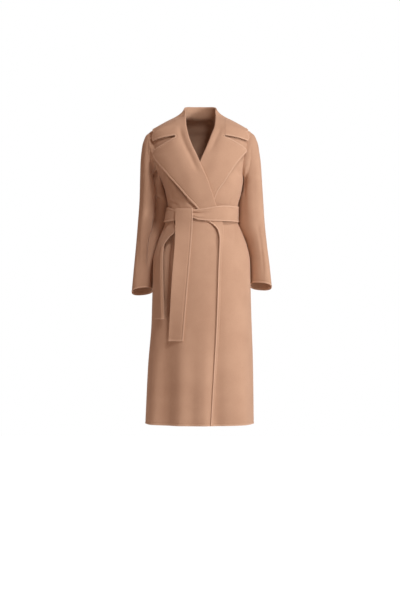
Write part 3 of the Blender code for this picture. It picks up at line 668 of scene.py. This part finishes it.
RIGHT_SLEEVE = table(
    "ring outer_x outer_height outer_y inner_x inner_height inner_y half_depth tilt",
    ("armhole", 0.1975, -0.064, 0.000, 0.1655, -0.235, 0.000, 0.066, 0.000),
    ("cap", 0.2085, -0.073, 0.000, 0.1660, -0.2358, 0.003, 0.068, 0.000),
    ("head", 0.2165, -0.090, 0.000, 0.1592, -0.241, 0.014, 0.069, 0.000),
    ("deltoid", 0.2225, -0.109, 0.002, 0.1508, -0.252, 0.033, 0.069, 0.000),
    ("biceps", 0.2270, -0.140, 0.004, 0.1412, -0.273, 0.050, 0.069, 0.000),
    ("upper_arm", 0.2305, -0.180, 0.008, 0.1300, -0.303, 0.058, 0.068, 0.000),
    ("mid_arm", 0.2325, -0.240, 0.016, 0.1212, -0.335, 0.062, 0.066, 0.002),
    ("above_elbow", 0.2350, -0.320, 0.026, 0.1256, -0.375, 0.064, 0.063, 0.004),
    ("elbow", 0.2415, -0.410, 0.030, 0.1342, -0.430, 0.062, 0.060, 0.006),
    ("below_elbow", 0.2485, -0.500, 0.024, 0.1640, -0.500, 0.056, 0.056, 0.009),
    ("forearm", 0.2565, -0.590, 0.012, 0.1815, -0.585, 0.048, 0.053, 0.012),
    ("cuff", 0.2645, -0.683, 0.000, 0.1853, -0.674, 0.036, 0.052, 0.014),
)
LEFT_SLEEVE = table(
    "ring outer_x outer_height outer_y inner_x inner_height inner_y half_depth tilt",
    ("armhole", 0.1995, -0.064, 0.000, 0.1695, -0.235, 0.000, 0.066, 0.000),
    ("cap", 0.2105, -0.073, 0.000, 0.1718, -0.2358, 0.002, 0.068, 0.000),
    ("head", 0.2185, -0.090, 0.000, 0.1705, -0.241, 0.009, 0.069, 0.000),
    ("deltoid", 0.2250, -0.109, 0.002, 0.1690, -0.252, 0.025, 0.069, 0.000),
    ("biceps", 0.2300, -0.140, 0.004, 0.1650, -0.273, 0.045, 0.069, 0.000),
    ("upper_arm", 0.2355, -0.180, 0.008, 0.1582, -0.300, 0.058, 0.068, 0.000),
    ("mid_arm", 0.2400, -0.240, 0.016, 0.1484, -0.330, 0.062, 0.066, 0.002),
    ("above_elbow", 0.2455, -0.320, 0.026, 0.1460, -0.370, 0.064, 0.063, 0.004),
    ("elbow", 0.2515, -0.410, 0.030, 0.1473, -0.430, 0.062, 0.060, 0.006),
    ("below_elbow", 0.2605, -0.500, 0.024, 0.1780, -0.500, 0.056, 0.056, 0.009),
    ("forearm", 0.2700, -0.580, 0.012, 0.1930, -0.575, 0.048, 0.053, 0.012),
    ("cuff", 0.2780, -0.663, 0.000, 0.1968, -0.656, 0.036, 0.052, 0.014),
)
SLEEVE_SIDES = 96
SLEEVE_SQUARENESS = 2.5
OVERLAP = 0.0004        # how far the sleeve's first ring reaches past the armhole's edge, and over it


def armhole_ring(angle, side):
    """The sleeve's first ring: the armhole's ellipse in depth and height, on the form."""
    height = ARMHOLE_MIDDLE + (ARMHOLE_HALF + OVERLAP) * np.cos(angle)
    away = np.abs((ARMHOLE_DEPTH + OVERLAP) * np.sin(angle))
    turn = turn_at_depth(height, away, np.sin(angle) >= 0.0)
    return torso_point(height, side * turn, OVERLAP, 0.0)


# Folds of the sleeves: from one place to another, a place being how far down the sleeve in rings and how
# far round it in degrees: 0 the outer side, 90 the front, 180 the inner side.
SLEEVE_FOLDS = table(
    "fold side down_a round_a down_b round_b half_width depth",
    ("right_inner_hollow", -1.0, 2.3, 110.0, 10.0, 122.0, 0.026, -0.0420),
    ("right_front_ridge", -1.0, 2.4, 64.0, 8.8, 58.0, 0.016, 0.0080),
    ("right_cap_1", -1.0, 1.4, 70.0, 4.2, 96.0, 0.007, -0.0040),
    ("right_cap_2", -1.0, 1.0, 48.0, 3.4, 74.0, 0.006, -0.0028),
    ("right_elbow_1", -1.0, 7.4, 150.0, 8.2, 84.0, 0.008, -0.0035),
    ("right_elbow_2", -1.0, 8.3, 160.0, 8.8, 96.0, 0.009, -0.0030),
    ("right_forearm", -1.0, 8.4, 40.0, 10.6, 70.0, 0.014, -0.0030),
    ("right_back_1", -1.0, 6.6, 235.0, 8.2, 300.0, 0.010, -0.0040),
    ("right_back_2", -1.0, 7.8, 225.0, 9.2, 285.0, 0.011, -0.0035),
    ("right_back_cap", -1.0, 1.6, 290.0, 5.0, 262.0, 0.009, -0.0040),
    ("left_crease", 1.0, 3.2, 128.0, 6.4, 108.0, 0.007, -0.0045),
    ("left_ridge", 1.0, 3.4, 100.0, 8.8, 88.0, 0.014, 0.0035),
    ("left_forearm", 1.0, 8.0, 66.0, 10.8, 80.0, 0.008, -0.0022),
    ("left_cap_1", 1.0, 1.4, 72.0, 3.8, 100.0, 0.008, -0.0025),
    ("left_elbow_1", 1.0, 7.6, 30.0, 8.4, 78.0, 0.012, -0.0018),
    ("left_back_1", 1.0, 6.4, 240.0, 8.0, 305.0, 0.010, -0.0040),
    ("left_back_2", 1.0, 7.6, 228.0, 9.0, 280.0, 0.011, -0.0035),
    ("left_back_cap", 1.0, 1.6, 286.0, 5.0, 258.0, 0.009, -0.0040),
)
AROUND = 0.00105        # metres round a sleeve for one degree
DOWN = 0.058            # metres down a sleeve for one ring
FOLD_FADE = (-0.12, 0.30)       # shares of a fold's length between which each of its ends runs out
LAST_RING = 11.0


def sleeve_folds(down, degrees, side):
    """Sum over a sleeve's folds of depth times the bell along the fold's line, the sleeve unrolled."""
    total = np.zeros(np.broadcast(down, degrees).shape)
    for fold in each_row(SLEEVE_FOLDS):
        if fold["side"] == side:
            across = (degrees - fold["round_a"]) * AROUND
            up = (down - fold["down_a"]) * DOWN
            run = ((fold["round_b"] - fold["round_a"]) * AROUND, (fold["down_b"] - fold["down_a"]) * DOWN)
            total = total + fold["depth"] * line_bell(across, up, run, fold["half_width"], FOLD_FADE)
    return total


# How much of the armhole's own ring each ring of the table takes.
ARMHOLE_SHARE = np.concatenate(((1.0, 0.72, 0.42, 0.2, 0.07), np.zeros(7)))
# Rows of the mesh by rings down the sleeve, close together at the cuff's turned edge.
SLEEVE_ROWS = np.concatenate((
    np.linspace(0.0, 6.0, 110),
    np.linspace(6.05, 10.85, 110),
    LAST_RING - np.array((0.13, 0.11, 0.09, 0.075, 0.06, 0.045, 0.03, 0.015, 0.0))))[:, None]


def sleeve_points(sleeve, side):
    """Rings down the sleeve: superellipses between an outer and an inner line, with the armhole's own
    edge mixed into the first few, moved out along the surface's normal by the folds and the bead."""
    angle = np.linspace(0.0, 2.0 * np.pi, SLEEVE_SIDES, endpoint=False)
    along = np.sign(np.cos(angle)) * np.abs(np.cos(angle)) ** (2.0 / SLEEVE_SQUARENESS)
    deep = np.sign(np.sin(angle)) * np.abs(np.sin(angle)) ** (2.0 / SLEEVE_SQUARENESS)
    rings = dict(sleeve, station=np.arange(LAST_RING + 1.0), armhole=ARMHOLE_SHARE)

    def read(name):
        return smooth(rings, name, SLEEVE_ROWS, "station")

    share = (1.0 + along) / 2.0
    x = read("inner_x") + (read("outer_x") - read("inner_x")) * share
    height = read("inner_height") + (read("outer_height") - read("inner_height")) * share
    y = read("inner_y") + (read("outer_y") - read("inner_y")) * share - read("half_depth") * deep
    points = np.stack((side * x, y, height + read("tilt") * deep), axis=-1)
    points = points + read("armhole")[..., None] * (armhole_ring(angle, side) - points[0])
    across = np.roll(points, -1, axis=1) - np.roll(points, 1, axis=1)
    lengthwise = np.gradient(points, axis=0)
    normal = side * np.cross(across, lengthwise)
    normal /= np.linalg.norm(normal, axis=-1, keepdims=True)
    from_cuff = np.linalg.norm(points - points[-1], axis=-1)
    lift = sleeve_folds(SLEEVE_ROWS, np.degrees(angle)[None, :], side)
    lift = lift * ease(SLEEVE_ROWS, 0.0, 1.2) * ease(LAST_RING - SLEEVE_ROWS, 0.0, 0.5)
    return points + normal * (lift + bead_lift(from_cuff))[..., None], from_cuff


def make_sleeve(name, node, sleeve, side):
    """A sleeve with its turned cuff edge."""
    points, from_cuff = sleeve_points(sleeve, side)
    return cloth(name, [node], [points], [from_cuff], closed=True)


right_sleeve = make_sleeve("coat_right_sleeve", "right_sleeve", RIGHT_SLEEVE, -1.0)
left_sleeve = make_sleeve("coat_left_sleeve", "left_sleeve", LEFT_SLEEVE, 1.0)


# ======================================================================== belt
# The belt is a band of the same wool, sewn double, 59 mm wide. It goes once round the waist and is tied
# in a half knot right of the centre: one end hangs over the knot, the other comes out beneath it.

BELT_CLOTH = 0.0030
BELT = table(
    "turn top bottom lift",
    (-180.0, -0.351, -0.410, 0.0032),
    (-98.0, -0.352, -0.411, 0.0040),
    (-80.0, -0.354, -0.412, 0.0070),
    (-62.0, -0.358, -0.412, 0.0098),
    (-40.0, -0.368, -0.409, 0.0138),
    (-13.0, -0.3670, -0.3985, 0.0138),
    (-2.0, -0.3630, -0.4080, 0.0140),
    (10.0, -0.3560, -0.4110, 0.0140),
    (34.0, -0.350, -0.412, 0.0138),
    (60.0, -0.351, -0.412, 0.0080),
    (85.0, -0.351, -0.411, 0.0032),
    (180.0, -0.351, -0.410, 0.0032),
)
belt_turn = np.linspace(-180.0, 180.0, 360, endpoint=False)
top = smooth(BELT, "top", belt_turn, "turn")
bottom = smooth(BELT, "bottom", belt_turn, "turn")
lift = smooth(BELT, "lift", belt_turn, "turn")
share = np.linspace(0.0, 1.0, 41)[:, None]
height = bottom + (top - bottom) * share
from_edge = (top - bottom) * np.minimum(share, 1.0 - share)
# Beside the long end, where the knot draws the band together, one crease and one roll run into it.
drawn = ease(belt_turn, -34.0, -12.0) * (1.0 - ease(belt_turn, -12.0, 12.0))
pull = -0.0060 * np.exp(-((share - 0.62) / 0.09) ** 2) + 0.0035 * np.exp(-((share - 0.30) / 0.15) ** 2)
band = torso_point(height, belt_turn, lift + bead_lift(from_edge) + pull * drawn, 0.0)
belt_band = cloth("belt_band_cloth", ["belt_band"], [band], [from_edge], BELT_CLOTH, closed=True)

# The long end from behind the band, up over its top and down the front: one strip, edge by edge.
LONG_END = table(
    "place height left_x right_x left_lift right_lift",
    ("tucked", -0.3950, -0.0820, -0.0275, 0.0094, 0.0094),
    ("behind", -0.3760, -0.0825, -0.0270, 0.0092, 0.0092),
    ("rising", -0.3660, -0.0828, -0.0262, 0.0112, 0.0112),
    ("over", -0.3628, -0.0832, -0.0255, 0.0146, 0.0146),
    ("falling", -0.3662, -0.0836, -0.0250, 0.0180, 0.0180),
    ("face", -0.3780, -0.0838, -0.0248, 0.0196, 0.0190),
    ("middle", -0.3960, -0.0838, -0.0250, 0.0204, 0.0188),
    ("below_band", -0.4160, -0.0838, -0.0258, 0.0214, 0.0172),
    ("hang_1", -0.4500, -0.0850, -0.0275, 0.0218, 0.0138),
    ("hang_2", -0.5000, -0.0880, -0.0315, 0.0216, 0.0108),
    ("hang_3", -0.6000, -0.0960, -0.0400, 0.0206, 0.0084),
    ("hang_4", -0.7300, -0.1060, -0.0510, 0.0185, 0.0068),
    ("end", -0.8690, -0.1177, -0.0626, 0.0160, 0.0066),
)
# The short end leaves the knot under the band, runs out to the side and hangs there, its right edge off
# the coat.
SHORT_END = table(
    "place height left_x right_x left_lift right_lift",
    ("tucked", -0.3950, -0.1150, -0.0930, 0.0052, 0.0080),
    ("leaving", -0.4140, -0.1170, -0.0930, 0.0052, 0.0100),
    ("turning", -0.4380, -0.1250, -0.0860, 0.0052, 0.0150),
    ("turned", -0.4580, -0.1310, -0.0880, 0.0056, 0.0200),
    ("opening", -0.4800, -0.1410, -0.1080, 0.0052, 0.0220),
    ("facet", -0.5120, -0.1550, -0.1270, 0.0050, 0.0290),
    ("hang_1", -0.5600, -0.1640, -0.1310, 0.0048, 0.0310),
    ("hang_2", -0.6600, -0.1670, -0.1300, 0.0046, 0.0300),
    ("end", -0.7860, -0.1690, -0.1290, 0.0046, 0.0270),
)
EDGE_CURL = 0.0130      # how far the short end's right edge rolls back towards the coat
CURL_SHARE = (0.74, 1.04)       # shares of its width between which it rolls back
CURL_DEPTH = (0.470, 0.520)     # depths below the origin between which the roll comes in


def belt_end(end, count, curl=0.0):
    """A strip down its table, straight across between its edges. Its lift off the form goes from the
    left edge's to the right edge's along a parabola, level at the lower of the two, less the curl eased
    in towards the right edge. Its distances are those to its end and its right edge, where the turned
    seam shows."""
    places = dict(end, station=np.arange(float(len(end["place"]))))
    at = np.linspace(0.0, len(end["place"]) - 1.0, count)[:, None]
    at = np.concatenate((at[:-1], at[-1] - np.array(((0.02,), (0.014,), (0.008,), (0.0,)))))
    height = smooth(places, "height", at, "station")
    share = np.linspace(0.0, 1.0, 41)[None, :]
    left = smooth(places, "left_x", at, "station")
    right = smooth(places, "right_x", at, "station")
    left_lift = smooth(places, "left_lift", at, "station")
    right_lift = smooth(places, "right_lift", at, "station")
    rise = np.where(right_lift > left_lift, share**2, share * (2.0 - share))
    lift = left_lift + (right_lift - left_lift) * rise
    lift = lift - curl * ease(share, *CURL_SHARE) * ease(-height, *CURL_DEPTH)
    x = left + (right - left) * share
    turn = turn_at_x(height, x)
    plain = torso_point(height + 0.0 * share, turn, lift, 0.0)
    from_edge = distance_to(np.concatenate((plain[-1], plain[::-1, -1])), plain)
    return torso_point(height + 0.0 * share, turn, lift + bead_lift(from_edge), 0.0), from_edge


points, from_edge = belt_end(LONG_END, 260)
long_end = cloth("belt_long_end_cloth", ["belt_long_end", "belt_knot"], [points], [from_edge], BELT_CLOTH)
points, from_edge = belt_end(SHORT_END, 200, EDGE_CURL)
short_end = cloth("belt_short_end_cloth", ["belt_short_end"], [points], [from_edge], BELT_CLOTH)


# ======================================================================== floor, light and camera
# A pale seamless floor, a soft key from the right, one light high above the front and one behind, and a
# camera level with the middle of the picture, six metres off.

FLOOR = -1.600
floor_mesh = bpy.data.meshes.new("floor")
floor_corners = [(-4, -4, FLOOR), (4, -4, FLOOR), (4, 4, FLOOR), (-4, 4, FLOOR)]
floor_mesh.from_pydata(floor_corners, [], [(0, 1, 2, 3)])
floor = bpy.data.objects.new("floor", floor_mesh)
bpy.context.scene.collection.objects.link(floor)
pale = bpy.data.materials.new("pale_floor")
pale.use_nodes = True
floor_nodes = pale.node_tree.nodes
floor_nodes["Principled BSDF"].inputs["Base Color"].default_value = (0.93, 0.93, 0.93, 1.0)
floor_nodes["Principled BSDF"].inputs["Roughness"].default_value = 0.9
floor_seen = floor_nodes.new("ShaderNodeLightPath")
glow = floor_nodes.new("ShaderNodeMix")
glow.data_type = "RGBA"
glow.inputs["A"].default_value = (0.05, 0.035, 0.025, 1.0)
glow.inputs["B"].default_value = (1.0, 1.0, 1.0, 1.0)
pale.node_tree.links.new(floor_seen.outputs["Is Camera Ray"], glow.inputs["Factor"])
pale.node_tree.links.new(glow.outputs["Result"], floor_nodes["Principled BSDF"].inputs["Emission Color"])
floor_nodes["Principled BSDF"].inputs["Emission Strength"].default_value = 1.0
floor_mesh.materials.append(pale)

# The surroundings look white, but light the coat only dimly and warmly, as light thrown back by wool does.
world = bpy.data.worlds.new("studio")
world.use_nodes = True
sky_nodes = world.node_tree.nodes
sky_links = world.node_tree.links
seen = sky_nodes.new("ShaderNodeLightPath")
sky = sky_nodes.new("ShaderNodeMix")
sky.data_type = "RGBA"
sky.inputs["A"].default_value = (0.23, 0.128, 0.084, 1.0)
sky.inputs["B"].default_value = (1.0, 1.0, 1.0, 1.0)
sky_links.new(seen.outputs["Is Camera Ray"], sky.inputs["Factor"])
sky_links.new(sky.outputs["Result"], sky_nodes["Background"].inputs["Color"])
bpy.context.scene.world = world
bpy.context.scene.view_settings.view_transform = "Standard"


def soft_light(name, place, size, power):
    """A square area light at a place, turned to face the coat's waist."""
    light = bpy.data.lights.new(name, "AREA")
    light.size = size
    light.energy = power
    lamp = bpy.data.objects.new(name, light)
    lamp.location = place
    away = np.array(place) - np.array((0.0, 0.0, -0.5))
    across = np.hypot(away[0], away[1])
    lamp.rotation_euler = (np.arctan2(across, away[2]), 0.0, np.arctan2(away[0], -away[1]))
    bpy.context.scene.collection.objects.link(lamp)


soft_light("key", (3.84, -2.33, 0.46), 0.9, 104.0)
soft_light("upper", (1.30, -2.79, 2.92), 0.8, 92.0)
soft_light("back", (-0.50, 4.30, 1.90), 1.8, 100.0)

PICTURE_METRES = 2.334      # what the picture's height covers at the coat
CAMERA_AWAY = 6.0
camera_data = bpy.data.cameras.new("camera")
camera_data.lens = 36.0 * CAMERA_AWAY / PICTURE_METRES
camera = bpy.data.objects.new("camera", camera_data)
camera.location = (0.0, -CAMERA_AWAY, -0.712)
camera.rotation_euler = (np.pi / 2.0, 0.0, 0.0)
bpy.context.scene.collection.objects.link(camera)
bpy.context.scene.camera = camera
